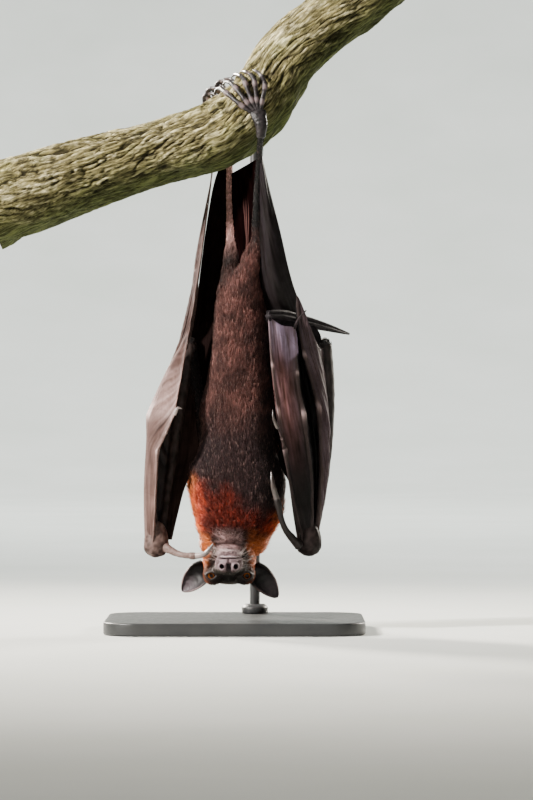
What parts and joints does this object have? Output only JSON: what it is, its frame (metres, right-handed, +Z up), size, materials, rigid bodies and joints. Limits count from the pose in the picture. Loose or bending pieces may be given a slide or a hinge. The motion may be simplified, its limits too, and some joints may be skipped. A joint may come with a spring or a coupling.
{
  "type": "fruit bat",
  "caption": "Large fruit bat hanging by its feet from a cut branch, wings folded, on a display stand with a flat base, a rod and an arm.",
  "frame": {"origin": "on the floor under the middle of the stand's base", "axes": "+Z up; the bat's belly and face look along -Y, its right wing is towards +X"},
  "size_m": [0.4444, 0.216, 0.6794],
  "materials": {
    "fur": "matte",
    "mantle": "matte",
    "bare_skin": "satin",
    "wing_skin": "satin",
    "claw": "satin",
    "eye": "gloss",
    "bark": "matte",
    "stand_paint": "satin"
  },
  "bodies": {
    "root": {"ear_left": "bare_skin", "ear_right": "bare_skin", "eye_left": "eye", "eye_right": "eye", "flank_membrane_left": "wing_skin", "flank_membrane_right": "wing_skin", "foot_left": "bare_skin", "foot_right": "bare_skin", "forearm_left": "wing_skin", "forearm_right": "wing_skin", "hand_left": "wing_skin", "hand_right": "wing_skin", "head": "mantle", "index_claw_left": "claw", "index_claw_right": "claw", "leg_left": "fur", "leg_right": "fur", "perch": "bark", "shoulder_membrane_left": "wing_skin", "shoulder_membrane_right": "wing_skin", "stand_arm": "stand_paint", "stand_base": "stand_paint", "stand_collar": "stand_paint", "stand_rod": "stand_paint", "tail_membrane": "wing_skin", "thumb_claw_left": "claw", "thumb_claw_right": "claw", "thumb_left": "wing_skin", "thumb_right": "wing_skin", "torso": "fur", "upper_arm_left": "fur", "upper_arm_right": "fur"}
  },
  "joints": []
}
